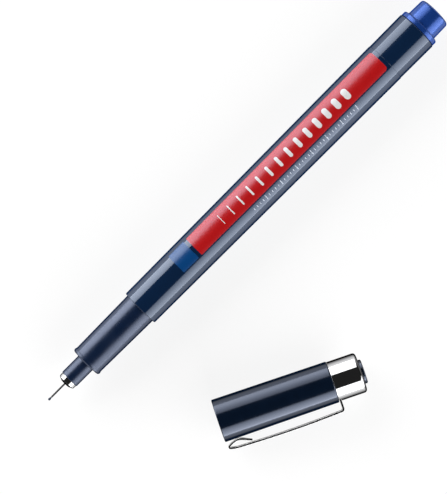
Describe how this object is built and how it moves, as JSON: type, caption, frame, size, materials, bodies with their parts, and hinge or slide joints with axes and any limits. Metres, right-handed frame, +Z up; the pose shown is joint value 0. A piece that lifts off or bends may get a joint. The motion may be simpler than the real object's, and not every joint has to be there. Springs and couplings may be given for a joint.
{
  "type": "felt-tip pen",
  "caption": "Slim fineliner pen with a needle-sleeved fibre point, a stepped grip and a push-fit end plug, laid beside its taken-off cap with bright crown and sprung pocket clip.",
  "frame": {"origin": "middle of the footprint of pen and cap together, on the surface that both lie on", "axes": "+X along the pen from the writing point to the end plug, +Z up from the surface, +Y from the cap to the pen"},
  "size_m": [0.13, 0.0572, 0.0106],
  "materials": {
    "inked_fibre": "matt bonded fibre soaked with blue ink",
    "steel": "turned and drawn stainless steel, bright",
    "navy_satin": "satin moulded plastic",
    "navy_gloss": "gloss moulded plastic",
    "ink_blue": "gloss moulded plastic in the ink's colour",
    "cap_navy": "gloss moulded plastic",
    "natural_plastic": "soft uncoloured plastic",
    "clear_film": "thin film",
    "chrome": "bright plated"
  },
  "bodies": {
    "pen": {"fibre_nib": "inked_fibre", "steel_sleeve": "steel", "tip_ferrule": "steel", "grip_section": "navy_satin", "feed_wick": "inked_fibre", "ink_wadding": "inked_fibre", "wadding_film": "clear_film", "barrel": "navy_gloss", "end_plug": "ink_blue"},
    "cap": {"cap_shell": "cap_navy", "sealing_liner": "natural_plastic", "bright_crown": "chrome", "end_button": "cap_navy"},
    "clip": {"pocket_clip": "chrome"}
  },
  "joints": [
    {"name": "cap_lift", "type": "slide", "parent": "pen", "child": "cap", "axis": [0, 0, 1], "range_m": [0, 0.04]},
    {"name": "clip_flex", "type": "hinge", "parent": "cap", "child": "clip", "pos_m": [-0.01587, -0.0252, 0.00527], "axis": [0, 0, 1], "range_deg": [0, 6], "stiffness_Nm_per_rad": 0.3, "springref_deg": -2.86}
  ]
}
